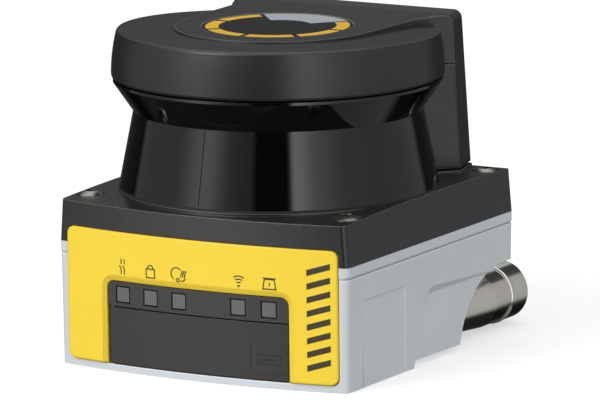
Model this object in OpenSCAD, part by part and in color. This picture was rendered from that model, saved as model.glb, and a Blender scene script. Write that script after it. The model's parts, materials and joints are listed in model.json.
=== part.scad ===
// Compact safety laser scanner for machine guarding.
// A die-cast base housing carries a moulded optics cover, a conical scan window, a cap on a rear
// tower, a coloured front bezel with indicators and a service flap, and a round cable connector.
// Units are millimetres. +Z is up, -Y is the front. The origin is the centre of the base face.

/* [Body] */
// Width of the housing at its widest line
body_w = 80; // [76:1:96]
// Depth of the housing between its front and rear corners
body_d = 82; // [80:1:96]
// How far the curved front stands out past the front corners
front_bulge = 4; // [2:0.5:8]
// Radius of the front vertical corners
corner_r = 1.6; // [1:0.1:4]
// Radius of the rear vertical corners
rear_corner_r = 0.6; // [0.4:0.1:3]
// Wall thickness of the cast housing
wall = 2.5; // [2:0.1:3.5]
// Thickness of the housing floor
floor_t = 3; // [2.5:0.1:4]
// Height of the cast base housing
housing_h = 27.3; // [26:0.1:34]
// Draft that each side wall of the base housing loses from top to bottom
housing_draft = 0.35; // [0:0.05:1]

/* [Ring and cover] */
// Height of the cast ring between housing and cover
ring_h = 2.7; // [2:0.1:5]
// Gap that the housing gasket fills
gasket_t = 0.15; // [0.1:0.05:0.5]
// Height of the straight-ruled side wall of the optics cover
cover_h = 10; // [9:0.5:14]
// Draft angle of the cover's side walls
cover_draft = 4.1; // [1:0.1:5]
// Draft angle of the cover's rear wall
cover_rear_draft = 1.2; // [0.5:0.1:4]
// Radius of the crown on top of the cover
dome_r = 960; // [600:1:2000]
// Wall thickness of the plastic covers
cover_wall = 2.2; // [1.6:0.1:3]

/* [Scan window] */
// Distance of the window's foot from the sides of the body
window_side = 1.15; // [1:0.05:5]
// Distance of the window's foot from the front of the body
window_front = 2.25; // [1.5:0.05:5]
// How far the window narrows from its foot to its waist
window_waist = 3.7; // [1:0.05:6]
// How far the window widens from its waist to its upper rim
window_flare = 4.85; // [2:0.05:6]
// Height of the window from foot to waist
window_low_h = 18.4; // [14:0.1:24]
// Height of the window from waist to upper rim
window_top_h = 7.1; // [5:0.1:9]
// Thickness of the window wall
window_t = 1.8; // [1.4:0.1:2.4]
// Height of the window seal
seal_h = 0.6; // [0.4:0.1:1]
// Half of the angle that the tower blocks, measured from straight back
blind_half_angle = 44.3; // [40:0.1:45]

/* [Cap and tower] */
// How far the cap reaches out past the window rim
cap_over = 0.4; // [0:0.1:2]
// How far the side of the cap leans in over its height
cap_lean = 1.2; // [0.5:0.1:2]
// Height of the cap
cap_h = 12; // [10.5:0.1:16]
// Radius of the crowned cap face
crown_r = 1200; // [800:1:3000]
// Gap between window rim and cap
cap_gap = 0.25; // [0.2:0.05:0.5]
// Width of the raised round end on the cap beyond the display lens
tongue_rim = 6.6; // [4:0.1:9]
// Distance of the seam between tower front and rear cover from the rear face
tower_rear = 11.5; // [10:0.1:13]
// Distance of the tower from the sides of the body at that seam
tower_side = 8.05; // [7.5:0.05:11]
// Distance of the tower's rear wall in front of the cover's
tower_step = 1; // [0:0.1:3]
// Draft angle of the tower's rear wall
tower_draft = 4.6; // [1:0.1:6]
// Angle at which the tower sides run in towards the rear
tower_taper = 14.4; // [2:0.1:18]
// Angle at which the tower sides lean in towards the top
tower_lean = 2; // [0:0.1:4]
// Radius of the tower's upper side edges
tower_edge_r = 2; // [1:0.1:4]
// Gap between the tower and the cover below it
tower_gap = 0.5; // [0.3:0.05:1]

/* [Field display] */
// Radius of the round display lens in the cap
lens_r = 18.4; // [16:0.1:20]
// Thickness of the display lens
lens_t = 1.4; // [1:0.1:2]
// Outer radius of the coloured ring segments
segment_r = 17.5; // [15:0.1:19]
// Radial width of the coloured ring segments
segment_w = 3.2; // [2:0.1:4]
// Angle of one ring segment
segment_angle = 41; // [20:1:43]
// Number of ring segments
segment_count = 6; // [2:2:6]
// Half of the angle that the grey sector and its gaps take up
sector_half_angle = 43; // [40:0.5:45]
// Depth of the printed inlays
inlay_t = 0.2; // [0.1:0.05:0.4]

/* [Front bezel] */
// Distance of the coloured bezel from the sides of the body
bezel_side = 2.75; // [2:0.05:5]
// How far the bezel sits to the right of the middle
bezel_shift = 0.2; // [0:0.05:0.5]
// Height of the bezel's lower edge above the base
bezel_z = 1.85; // [1.5:0.05:3]
// Height of the bezel
bezel_h = 32.35; // [30:0.05:33]
// Thickness of the bezel
bezel_t = 1.4; // [1:0.1:2]
// How far the bezel stands out of the wall
bezel_proud = 0.3; // [0.1:0.05:0.5]
// Outer corner radius of the bezel
bezel_r = 1.9; // [1:0.1:3]
// Width of the dark panel opening in the bezel
panel_w = 50.4; // [48:0.1:54]
// Height of the panel opening above the bezel's lower edge
panel_h = 20.45; // [19:0.05:22]
// Corner radius of the panel opening
panel_r = 2.2; // [1:0.1:3]
// Height of the indicator strip
strip_h = 6.4; // [5.5:0.1:7]
// Gap round the panel parts
panel_gap = 0.2; // [0.1:0.05:0.4]

/* [Indicators] */
// Distance of the outer indicators from the sides of the panel
led_margin = 5; // [4:0.1:6]
// How far the indicator row sits to the left of the middle
led_shift = 0.3; // [0:0.1:1]
// Side length of an indicator lens
led_size = 3.5; // [3:0.1:4]
// Height of the indicator row above the base
led_z = 18.95; // [18.7:0.05:19.3]
// Gap round an indicator lens
led_gap = 0.28; // [0.1:0.01:0.35]

/* [Service flap] */
// Thickness of the flap
flap_t = 1.5; // [1.2:0.1:2]
// Radius of the flap's hinge barrel
barrel_r = 0.85; // [0.75:0.05:1.4]
// Radius of the hinge pin
pin_r = 0.4; // [0.35:0.05:0.7]
// Running clearance of the hinge pin
pin_gap = 0.06; // [0.02:0.01:0.1]
// Depth of the service pocket behind the flap
pocket_d = 8; // [6:0.5:10]
// Width of the finger recess in the flap
grip_w = 9.6; // [6:0.1:12]
// Height of the finger recess
grip_h = 7; // [5:0.1:9]

/* [Side relief] */
// Depth of the rectangular side panel
side_panel_depth = 0.4; // [0.2:0.05:1]
// Length of the side panel
side_panel_l = 20.4; // [14:0.1:24]
// Height of the side panel
side_panel_h = 21.1; // [16:0.1:23]
// Distance of the side panel from the front corner
side_panel_y = 7.6; // [5:0.1:10]
// Depth of the rear side relief at its front end
relief_depth = 1.4; // [0.6:0.1:2]
// Height of the raised rear underside
rear_lift = 1.3; // [1:0.1:3]
// Distance of the underside step from the front corner
lift_y = 32.6; // [30:0.1:38]
// Height of the slanted shelf above the rear side relief
shelf_h = 2.3; // [1:0.1:3]

/* [Cable recess] */
// Radius of the concave recess under the rear
recess_r = 21.4; // [19:0.1:23]
// Distance of the recess axis in front of the rear face
recess_y = 4.6; // [2:0.1:6]
// Depth of the recess axis below the base face
recess_drop = 3.2; // [1:0.1:5]

/* [Connector] */
// Outer radius of the connector sleeve
sleeve_r = 7.3; // [6.8:0.1:7.5]
// Inner radius of the connector sleeve
sleeve_bore_r = 6.1; // [5.5:0.05:6.2]
// Inner radius of the sleeve's mouth, which takes the plug
mouth_r = 6.35; // [6.2:0.05:6.5]
// Length of that mouth
mouth_l = 4.2; // [3:0.1:4.2]
// Distance of the connector axis from the side of the body
connector_side = 9; // [8.5:0.1:14]
// Height of the connector axis
connector_z = 7.8; // [7.6:0.1:9]
// How far the connector reaches past the rear face
connector_reach = 11.3; // [8:0.1:20]
// Radius of the sleeve where it leaves the housing
foot_r = 6; // [5.6:0.1:6.8]
// Length of the sleeve's front collar
collar_l = 8; // [6:0.1:9]
// Depth of the sleeve's open socket
socket_d = 9; // [7:0.1:10]
// Number of contact pins on the pin circle
pin_count = 7; // [4:1:8]
// How far the contact pins stand out of their insert's seat
pin_out = 4.2; // [3:0.1:4.5]

/* [Screws] */
// Distance of the corner screws from the sides of the body
screw_side = 4.5; // [4.4:0.1:6]
// Distance of the front screws from the front corners
screw_front = 7.6; // [6.3:0.1:8.5]
// Distance of the rear screws from the rear face
screw_rear = 5.8; // [5:0.1:7]
// Radius of the screw pockets
pocket_r = 3.5; // [3.3:0.05:3.7]
// Depth of the screw pockets below the cover's side line
pocket_depth = 1.4; // [1:0.1:2]
// Radius of the screw heads
head_r = 3.2; // [2.6:0.05:3.3]
// Radius of the screw shanks
shank_r = 1.5; // [1.2:0.05:1.7]
// Clearance round screws in their holes
screw_gap = 0.15; // [0.05:0.01:0.25]
// Distance of the threaded mounting holes from the sides of the body
mount_side = 14; // [12:0.5:16]
// Distance of the front mounting holes from the front corners
mount_front = 12; // [11:0.5:14]
// Distance of the rear mounting holes from the rear face
mount_rear = 40; // [39:0.5:42]
// Core radius of the mounting threads
mount_r = 1.65; // [1.25:0.05:2.1]
// Depth of the mounting threads
mount_depth = 6; // [5:0.5:8]

/* [Scan drive] */
// Radius of the drive shaft
shaft_r = 2; // [1.5:0.1:2.5]
// Running clearance of the shaft in its bearings
shaft_gap = 0.05; // [0.02:0.01:0.1]
// Outer radius of the ball bearings
bearing_r = 6.5; // [5:0.1:7]
// Height of a ball bearing
bearing_h = 4; // [3:0.5:5]
// Outer radius of the motor bell
bell_r = 19; // [16:0.5:22]
// Number of stator teeth
tooth_count = 9; // [6:3:12]
// Radius of the scan mirror
mirror_r = 15; // [12:0.5:17]
// Thickness of the scan mirror
mirror_t = 2; // [1.5:0.1:3]
// Radius of the receiving lens
receiver_r = 15; // [12:0.5:17]

/* [Hidden] */

$fn = 96;
eps = 0.01;
far = 200;

// Plan and height lines that several parts share
half_w = body_w / 2;
half_d = body_d / 2;
front_r = (half_w * half_w + front_bulge * front_bulge) / (2 * front_bulge);
front_y = -half_d - front_bulge;
arc_y = front_y + front_r;
window_foot_r = half_w - window_side;
window_neck_r = window_foot_r - window_waist;
window_rim_r = window_neck_r + window_flare;
scan_y = front_y + window_front + window_foot_r;
cap_r = window_rim_r + cap_over;
tongue_r = lens_r + tongue_rim;
seam_y = half_d - tower_rear;
tower_half_w = half_w - tower_side;
frame_r = window_neck_r - 4.95;
bezel_w = body_w - 2 * bezel_side;
screw_x = half_w - screw_side;
screw_y = [-half_d + screw_front, half_d - screw_rear];
ring_z = housing_h + gasket_t;
cover_z = ring_z + ring_h;
cover_top = cover_z + cover_h;
dome_y = 5;
dome_top = cover_top + 1.2;
seat_z = cover_top + 0.85;
window_z = seat_z + seal_h;
neck_z = window_z + window_low_h;
rim_z = neck_z + window_top_h;
rim_band = 0.7;
window_top = rim_z + rim_band;
cap_z = window_top + cap_gap;
top_z = cap_z + cap_h;
tower_z = cover_top + 1.5 + tower_gap;
split_z = cap_z + 0.3;
split_gap = 0.3;
arc_steps = 12;
corner_steps = 6;

// Points on an arc from angle a0 to a1
function arc(c, r, a0, a1, n) =
    [for (i = [0:n]) let (a = a0 + (a1 - a0) * i / n) [c[0] + r * cos(a), c[1] + r * sin(a)]];
// The same points mirrored across x = 0, in reverse order
function mirrored(p) = [for (i = [len(p) - 1:-1:0]) [-p[i][0], p[i][1]]];

// Right half of the body outline, from the front centre round to the rear
function half_outline(inset) =
    let (r = max(corner_r - inset, 0.3), rr = max(rear_corner_r - inset, 0.3),
         hw = half_w - inset, hd = half_d - inset,
         fr = front_r - inset, cx = hw - r, phi = asin(cx / (fr - r)),
         cy = arc_y - (fr - r) * cos(phi))
    concat(arc([0, arc_y], fr, -90, -90 + phi, arc_steps),
           arc([cx, cy], r, -90 + phi, 0, corner_steps),
           arc([hw - rr, hd - rr], rr, 0, 90, corner_steps));
function outline(inset) =
    let (h = half_outline(inset), m = mirrored(h))
    concat(h, [for (i = [0:len(m) - 2]) m[i]]);

// Straight prism with the body outline, pulled in by inset
module body_prism(inset, z0, z1) {
    translate([0, 0, z0]) linear_extrude(z1 - z0) polygon(outline(inset));
}

// Body outline that loses draft on its sides and rear while the front stays upright
module drafted_prism(inset, z0, h, draft, rear_draft) {
    w = body_w - 2 * inset;
    d = body_d + front_bulge - 2 * inset;
    translate([0, front_y + inset, z0])
        linear_extrude(h, scale = [(w - 2 * draft) / w, (d - rear_draft) / d], slices = 1)
            translate([0, -front_y - inset]) polygon(outline(inset));
}

// Upright cylinder round the centre of the front curve, moved out by grow
module front_cylinder(grow, z0, z1) {
    translate([0, arc_y, z0]) cylinder(r = front_r + grow, h = z1 - z0, $fn = 720);
}

// Curved plate that follows the front, between two offsets from the wall
module front_shell(outer, inner, z0, z1) {
    difference() {
        front_cylinder(outer, z0, z1);
        front_cylinder(inner, z0 - 1, z1 + 1);
    }
}

// Upright rounded rectangle that runs along Y in front of the body
module front_block(w, z0, z1, r, y0, y1) {
    half = w / 2;
    pts = concat(arc([half - r, z0 + r], r, -90, 0, corner_steps),
                 arc([half - r, z1 - r], r, 0, 90, corner_steps));
    translate([0, y1, 0]) rotate([90, 0, 0]) linear_extrude(y1 - y0)
        polygon(concat(pts, mirrored(pts)));
}

// Disc or tube round the scan axis
module axis_disc(r, z0, z1) {
    translate([0, scan_y, z0]) cylinder(r = r, h = z1 - z0);
}

module axis_ring(r_out, r_in, z0, z1) {
    difference() {
        axis_disc(r_out, z0, z1);
        axis_disc(r_in, z0 - 1, z1 + 1);
    }
}

// Wedge behind the scan axis that the window leaves open, moved back by shift
module blind_wedge(z0, z1, shift = 0) {
    w = far * tan(blind_half_angle);
    translate([0, scan_y + shift, z0]) linear_extrude(z1 - z0)
        polygon([[0, 0], [w, far], [-w, far]]);
}

// Everything with y above or below a plane
module behind(y, z0, z1) {
    translate([-far / 2, y, z0]) cube([far, far, z1 - z0]);
}

module ahead(y, z0, z1) {
    translate([-far / 2, y - far, z0]) cube([far, far, z1 - z0]);
}

/* ---- Base housing ---- */
relief_top = 19;
relief_front = half_d - 40;
relief_l = 44;
scoop_y = half_d - recess_y;
panel_top = bezel_z + panel_h;
flap_top = panel_top - strip_h;
boss_r = screw_side - wall + 1.5;
mount_boss_r = boss_r + 0.5;
rear_boss_z = 18.4;
mount_dx = body_w - 2 * mount_side;
mount_dy = body_d - mount_front - mount_rear;
mount_cy = (mount_front - mount_rear) / 2;
post_r = 3;
post_ring_r = window_foot_r - 7.85;
post_angles = [-25, 50, 130, 205];
board_z = floor_t + 2;
board_t = 1.6;
board_dx = 17;
board_rim = 3;
board_gap = 3;
board_y0 = -half_d + 17;
board_y1 = scan_y + post_ring_r * sin(post_angles[1]) - post_r - board_gap - board_rim;
screw_hole_z = 12;
connector_x = half_w - connector_side;
connector_y = half_d - 29;
socket_x = panel_w / 2 - 7.5;
socket_z = 8.2;
socket_w = 9;
socket_h = 3.2;
pocket_x0 = -panel_w / 2 + 4;
pocket_x1 = panel_w / 2 - 0.8;
pocket_z1 = flap_top - 1.2;
pocket_back = -half_d + pocket_d - 2.5;
bezel_seat = bezel_t - bezel_proud;
seat_d = 2.9;

// Shallow panel that runs down to the base on one side
module side_panel_cut() {
    y0 = -half_d + side_panel_y;
    r = 1;
    pts = concat([[y0 + side_panel_l, -1], [y0 + side_panel_l, side_panel_h]],
                 arc([y0 + r, side_panel_h - r], r, 90, 180, corner_steps), [[y0, -1]]);
    translate([half_w - side_panel_depth, 0, 0]) rotate([90, 0, 90]) linear_extrude(10)
        polygon(pts);
}

// Slanted relief behind it: deep at its leading edge and running out towards the rear, with a
// slanted shelf above
module rear_relief_cut() {
    reach = 10;
    section = [[0, -1], [reach, -1], [reach, relief_top + shelf_h * (reach / relief_depth - 1)],
               [0, relief_top - shelf_h]];
    lead = [[relief_front, relief_top], [relief_front - 3.2, relief_top - 1.8],
            [relief_front - 4.4, relief_top - 2.6], [relief_front - 5.4, relief_top - 4.4],
            [relief_front - 9.4, -1]];
    swing = atan(relief_depth / relief_l);
    intersection() {
        translate([half_w - relief_depth, relief_front, 0]) rotate([0, 0, -swing])
            translate([0, far / 2, 0]) rotate([90, 0, 0]) linear_extrude(far) polygon(section);
        translate([0, 0, 0]) rotate([90, 0, 90]) linear_extrude(far)
            polygon(concat([[far, -1], [far, relief_top + reach], [relief_front, relief_top + reach]],
                           lead));
    }
}

// Underside of the outer strip, raised behind the step
module side_strip_cut() {
    translate([half_w - 6, -half_d + lift_y, -1]) cube([far, far, 1 + rear_lift]);
}

// Concave recess under the rear, open to both sides
module recess_cut() {
    translate([-far / 2, scoop_y, -recess_drop]) rotate([0, 90, 0])
        cylinder(r = recess_r, h = far);
    behind(scoop_y, -1, recess_r - recess_drop);
}

// Screw and mounting bosses that stand on the floor
module housing_bosses() {
    for (sx = [-1, 1]) {
        for (y = screw_y)
            translate([sx * screw_x, y, y > 0 ? rear_boss_z : 0])
                cylinder(r = boss_r, h = housing_h - (y > 0 ? rear_boss_z : 0));
        for (sy = [-1, 1])
            translate([sx * mount_dx / 2, mount_cy + sy * mount_dy / 2, 0])
                cylinder(r = mount_boss_r, h = mount_depth + 1.5);
        for (y = [board_y0, board_y1])
            translate([sx * board_dx, y, 0]) cylinder(r = 2.4, h = board_z);
    }
    // thick wall that carries the connector
    intersection() {
        connector_disc(sleeve_r + 1.5, connector_y - 2.5, scoop_y);
        translate([connector_x, scoop_y, -recess_drop]) rotate([0, 90, 0])
            cylinder(r = recess_r + 7, h = far, center = true);
    }
}

// Posts that carry the motor plate
module plate_posts(r, z0, z1) {
    for (a = post_angles)
        translate([post_ring_r * cos(a), scan_y + post_ring_r * sin(a), z0])
            cylinder(r = r, h = z1 - z0);
}

// Box round the service pocket, with its wall
module pocket_box(grow) {
    translate([pocket_x0 - grow, front_y - 5, bezel_z + 1 - grow])
        cube([pocket_x1 - pocket_x0 + 2 * grow, pocket_back - front_y + 5 + grow,
              pocket_z1 - bezel_z - 1 + 2 * grow]);
}

module housing_outer() {
    translate([0, 0, housing_h]) mirror([0, 0, 1])
        drafted_prism(0.12, 0, housing_h, housing_draft, housing_draft);
}

module housing_solid() {
    union() {
        intersection() {
            housing_outer();
            union() {
                difference() {
                    body_prism(0, 0, housing_h);
                    difference() {
                        body_prism(wall, floor_t, housing_h + 1);
                        translate([-far / 2, scoop_y, -recess_drop]) rotate([0, 90, 0])
                            cylinder(r = recess_r + wall, h = far);
                        behind(scoop_y, -1, recess_r - recess_drop + wall);
                        pocket_box(wall);
                    }
                }
                housing_bosses();
            }
        }
        plate_posts(post_r, 0, plate_z);
    }
}

module base_housing() {
    color([0.66, 0.68, 0.70])
    difference() {
        housing_solid();
        recess_cut();
        side_strip_cut();
        mirror([1, 0, 0]) side_strip_cut();
        side_panel_cut();
        mirror([1, 0, 0]) side_panel_cut();
        rear_relief_cut();
        mirror([1, 0, 0]) rear_relief_cut();
        // seat of the bezel and, behind it, the deeper seat of the strip and flap
        intersection() {
            translate([bezel_shift, 0, 0])
                front_block(bezel_w + 2 * panel_gap, bezel_z - panel_gap, housing_h + 20, bezel_r,
                            front_y - 5, 0);
            front_shell(5, -bezel_seat - 0.1, -1, housing_h + 1);
        }
        intersection() {
            front_block(panel_w, -10, panel_top, panel_r, front_y - 5, 0);
            front_shell(5, -seat_d, bezel_z - panel_gap, housing_h + 1);
        }
        pocket_box(0);
        // window for the indicator board
        translate([-panel_w / 2 + 1.5, front_y - 5, led_z - 2.05])
            cube([panel_w - 3, led_board_y + led_board_t + 0.1 - front_y + 5, 4.1]);
        for (sx = [-1, 1]) {
            for (y = screw_y)
                translate([sx * screw_x, y, y > 0 ? rear_boss_z + 1 : screw_hole_z])
                    cylinder(r = shank_r + 0.05, h = housing_h);
            for (sy = [-1, 1])
                translate([sx * mount_dx / 2, mount_cy + sy * mount_dy / 2, -1])
                    cylinder(r = mount_r, h = mount_depth + 1);
            for (y = [board_y0, board_y1])
                translate([sx * board_dx, y, floor_t - 1.5]) cylinder(r = 0.9, h = 10);
        }
        plate_posts(1.2, plate_z - 8, plate_z + 1);
        connector_disc(tail_r + 0.05, connector_y - 5, connector_y + 20);
        connector_disc(foot_r + 0.05, connector_y + 1, connector_y + 20);
        translate([socket_x - socket_w / 2 - 0.1, pocket_back - 1, socket_z - socket_h / 2 - 0.1])
            cube([socket_w + 0.2, wall + 2, socket_h + 0.2]);
        flap_pin_hole();
    }
}

/* ---- Ring, gasket and cover ---- */
module screw_holes(r, z0, z1) {
    for (sx = [-1, 1], y = screw_y)
        translate([sx * screw_x, y, z0]) cylinder(r = r, h = z1 - z0);
}

module bezel_pocket_cut(z1) {
    intersection() {
        translate([bezel_shift, 0, 0])
            front_block(bezel_w + 2 * panel_gap, bezel_z - panel_gap,
                        bezel_z + bezel_h + panel_gap, bezel_r, front_y - 5, 0);
        front_shell(5, -bezel_seat - 0.1, -1, z1);
    }
}

module housing_gasket() {
    color([0.12, 0.12, 0.12])
    difference() {
        body_prism(1.3, housing_h, ring_z);
        body_prism(wall, housing_h - 1, ring_z + 1);
        screw_holes(shank_r + screw_gap, housing_h - 1, ring_z + 1);
    }
}

module cast_ring() {
    ring_wall = wall + 0.5;
    chamfer = 0.45;
    color([0.66, 0.68, 0.70])
    difference() {
        union() {
            body_prism(0, ring_z + chamfer, cover_z);
            translate([0, 0, ring_z + chamfer]) mirror([0, 0, 1])
                drafted_prism(0, 0, chamfer, 0.3, 0.3);
        }
        difference() {
            body_prism(ring_wall, ring_z - 1, cover_z + 1);
            for (sx = [-1, 1], y = screw_y)
                translate([sx * screw_x, y, ring_z - 2]) cylinder(r = boss_r, h = 10);
        }
        screw_holes(shank_r + screw_gap, ring_z - 1, cover_z + 1);
        bezel_pocket_cut(cover_z + 1);
    }
}

module tower_plan_block(z0, z1, grow) {
    intersection() {
        side_profile(grow);
        mirror([1, 0, 0]) side_profile(grow);
        rear_profile();
        blind_wedge(z0, z1, -grow / sin(blind_half_angle));
    }
}

// Slight crown of the cover's top, curved from front to rear
module dome() {
    translate([-far / 2, dome_y, dome_top - dome_r]) rotate([0, 90, 0])
        cylinder(r = dome_r, h = far, $fn = 1440);
}

module optics_cover() {
    plate_t = 3;
    color([0.20, 0.20, 0.20])
    difference() {
        union() {
            intersection() {
                drafted_prism(0, cover_z, cover_h + 2, (cover_h + 2) * tan(cover_draft),
                              (cover_h + 2) * tan(cover_rear_draft));
                dome();
            }
            axis_disc(window_foot_r + 0.35, cover_top - 2, seat_z);
            intersection() {
                tower_plan_block(cover_top - 2, tower_z - tower_gap, 0.3);
                axis_ring(far, frame_r - 0.2, cover_top - 2, tower_z - tower_gap);
            }
        }
        // hollow from below, with the bosses left standing
        difference() {
            body_prism(cover_wall + 0.9, cover_z - 1, cover_top - plate_t);
            for (sx = [-1, 1], y = screw_y)
                translate([sx * screw_x, y, cover_z - 2])
                    cylinder(r = pocket_r + 1, h = cover_h + 2);
        }
        axis_disc(window_foot_r - 2.6, cover_z, far);
        difference() {
            axis_disc(window_foot_r + 0.3, seat_z, far);
            blind_wedge(seat_z - 1, far + 1);
        }
        intersection() {
            blind_wedge(cover_top - 4, far, 3.5);
            behind(0, cover_z, far);
            axis_disc(window_rim_r + 1.2, cover_z, far);
        }
        screw_holes(shank_r + screw_gap, cover_z - 1, far);
        screw_holes(pocket_r, cover_top - pocket_depth, far);
        bezel_pocket_cut(far);
    }
}

module window_seal() {
    color([0.08, 0.08, 0.08])
    difference() {
        axis_ring(window_foot_r + 0.2, window_foot_r - 2, seat_z, window_z);
        blind_wedge(seat_z - 1, window_z + 1, -0.15);
    }
}

/* ---- Scan window ---- */
// Outer line of the window, from foot to rim, moved in by inset
function window_line(inset) =
    [[window_foot_r - inset, window_z], [window_neck_r - inset, neck_z],
     [window_rim_r - inset, rim_z]];

module scan_window() {
    out = window_line(0);
    in = window_line(window_t);
    profile = concat(out, [[window_rim_r, window_top], [window_rim_r - 4.5, window_top],
                           [window_rim_r - 4.5, rim_z - 0.6]],
                     [[in[1][0], in[1][1]], [in[0][0], in[0][1]]]);
    color([0.06, 0.06, 0.07])
    difference() {
        translate([0, scan_y, 0]) rotate_extrude() polygon(profile);
        blind_wedge(window_z - 1, window_top + 1, -0.15);
    }
}

/* ---- Cap and tower ---- */
// Half space bounded by one tower side: it leans in upwards and runs in towards the rear
module side_profile(grow = 0) {
    base = cover_top + 1.5;
    lean = tan(tower_lean);
    top_x = -(top_z - base) * lean;
    r = tower_edge_r;
    pts = concat([[-far, base - 10], [10 * lean, base - 10]],
                 arc([top_x - r, top_z - r], r, 0, 90, 8), [[-far, top_z]]);
    translate([tower_half_w + grow, seam_y, 0]) rotate([0, 0, tower_taper])
        translate([0, far / 2, 0]) rotate([90, 0, 0]) linear_extrude(far) polygon(pts);
}

// Rear wall plane of cover and tower
module rear_profile() {
    z1 = top_z + 1;
    y0 = half_d - tower_step;
    y1 = y0 - (z1 - cover_z) * tan(tower_draft);
    translate([-far / 2, 0, 0]) rotate([90, 0, 90]) linear_extrude(far)
        polygon([[-far, cover_z], [y0, cover_z], [y1, z1], [-far, z1]]);
}

// Outer shape of the whole tower between two heights
module tower_body(z0, z1) {
    intersection() {
        side_profile();
        mirror([1, 0, 0]) side_profile();
        rear_profile();
        blind_wedge(z0, z1);
    }
}

// Curved front wall and slanted side walls between window and rear cover
module window_frame() {
    wall_t = 2;
    color([0.20, 0.20, 0.21])
    difference() {
        intersection() {
            tower_body(tower_z, split_z - split_gap);
            ahead(seam_y, tower_z, split_z);
        }
        axis_disc(frame_r, 0, far);
        difference() {
            blind_wedge(tower_z - 1, split_z + 1, wall_t / sin(blind_half_angle));
            axis_disc(frame_r + wall_t, 0, far);
        }
    }
}

// Outer line of the cap from its lower rim to the top face
function cap_line() =
    let (n = 8, r = 1)
    concat([[cap_r - 0.7, cap_z], [cap_r - 0.15, cap_z + 0.35]],
           [for (i = [0:n]) let (t = i / n)
               [cap_r - cap_lean * t * t, cap_z + 0.8 + (cap_h - 2.2) * t]],
           arc([cap_r - cap_lean - r, top_z - 0.4 - r], r, 10, 90, 5));

// Straight part of the raised tongue, which widens towards the corners of the tower
module tongue_neck() {
    half = [[tongue_r, scan_y], [tongue_r + 0.6, seam_y - 11.7], [tower_half_w - 0.4, seam_y]];
    intersection() {
        translate([0, 0, top_z - 5]) linear_extrude(5) polygon(concat(half, mirrored(half)));
        axis_disc(cap_r - cap_lean - 0.9, top_z - 6, top_z + 1);
    }
}

module cap_shape() {
    union() {
        difference() {
            intersection() {
                translate([0, scan_y, 0]) rotate_extrude()
                    polygon(concat([[0, cap_z]], cap_line(), [[0, top_z - 0.4]]));
                translate([-far / 2, front_y + 3, top_z - 0.4 - crown_r]) rotate([0, 90, 0])
                    cylinder(r = crown_r, h = far, $fn = 1440);
            }
            behind(seam_y, 0, far);
        }
        axis_disc(tongue_r, top_z - 5, top_z);
        tongue_neck();
        intersection() {
            tower_body(split_z, top_z);
            ahead(seam_y, split_z, top_z);
        }
    }
}

module cap() {
    top_wall = cover_wall + 0.6;
    wedge_w = 2.2 / sin(blind_half_angle);
    color([0.21, 0.21, 0.21])
    difference() {
        cap_shape();
        axis_disc(cap_r - 3.4, cap_z - 1, top_z - 0.4 - top_wall - 1.9);
        axis_disc(tongue_r - cover_wall, cap_z, top_z - top_wall);
        intersection() {
            blind_wedge(split_z - 2, top_z - top_wall, wedge_w);
            behind(10, split_z - 2, far);
        }
        // seat of the display lens
        axis_disc(lens_r + 0.1, top_z - lens_t, top_z + 1);
    }
}

module rear_cover() {
    gap = 0.15;
    bottom = tower_z;
    color([0.20, 0.20, 0.20])
    difference() {
        intersection() {
            tower_body(bottom, top_z);
            behind(seam_y + gap, bottom, top_z + 1);
        }
        intersection() {
            translate([0, -cover_wall, -cover_wall]) tower_body(bottom - 5, top_z);
            translate([-far / 2, seam_y - 1, bottom - 1])
                cube([far, far, top_z - cover_wall - bottom + 1]);
            translate([-cover_wall, 0, 0]) side_profile();
            translate([cover_wall, 0, 0]) mirror([1, 0, 0]) side_profile();
        }
    }
}

/* ---- Field display on the cap ---- */
lens_top = top_z - 0.15;
function sector(r0, r1, a0, a1, n) =
    concat(arc([0, 0], r1, a0, a1, n), arc([0, 0], r0, a1, a0, n));

module inlay(points, z1) {
    translate([0, scan_y, z1 - inlay_t]) linear_extrude(inlay_t) polygon(points);
}

segment_step = (360 - 2 * (sector_half_angle + 2) - segment_angle) / (segment_count - 1);

module field_ring_shape(z1) {
    for (i = [0:segment_count - 1]) {
        a = 90 + sector_half_angle + 2 + i * segment_step;
        inlay(sector(segment_r - segment_w, segment_r, a, a + segment_angle, 10), z1);
    }
}

module blind_sector_shape(z1) {
    a = sector_half_angle - 2;
    inlay(sector(lens_r * 0.46, segment_r + 0.4, 90 - a, 90 + a, 16), z1);
}

module display_lens() {
    color([0.13, 0.13, 0.14])
    difference() {
        axis_disc(lens_r, top_z - lens_t, lens_top);
        for (z = [lens_top, lens_top + inlay_t / 2]) {
            field_ring_shape(z);
            blind_sector_shape(z);
        }
    }
}

module field_ring() {
    color([0.96, 0.74, 0.10]) field_ring_shape(lens_top);
}

module blind_sector() {
    color([0.68, 0.70, 0.72]) blind_sector_shape(lens_top);
}

/* ---- Front bezel and indicators ---- */
roll_w = 1.2;
roll_h = 0.3;
roll_steps = 3;

module front_bezel() {
    color([0.97, 0.83, 0.22])
    difference() {
        intersection() {
            translate([bezel_shift, 0, 0])
                front_block(bezel_w, bezel_z, bezel_z + bezel_h, bezel_r, front_y - 5, 0);
            front_shell(bezel_proud, -bezel_seat, 0, far);
        }
        // panel opening, open at the bottom, with a soft edge round it
        front_block(panel_w, -10, panel_top, panel_r, front_y - 5, 0);
        for (i = [1:roll_steps])
            intersection() {
                front_block(panel_w + 2 * i * roll_w / roll_steps, -10,
                            panel_top + i * roll_w / roll_steps, panel_r + i * roll_w / roll_steps,
                            front_y - 5, 0);
                front_shell(5, bezel_proud - roll_h * (1 - pow((i - 0.5) / roll_steps, 2)), -1, far);
            }
    }
}

strip_z = flap_top + panel_gap / 2;
strip_front = -0.15;
led_slots = [0, 1, 2, 4, 5];
led_pitch = (panel_w - 2 * led_margin) / led_slots[4];
function led_x(i) = (led_slots[i] - led_slots[4] / 2) * led_pitch - led_shift;

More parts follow.
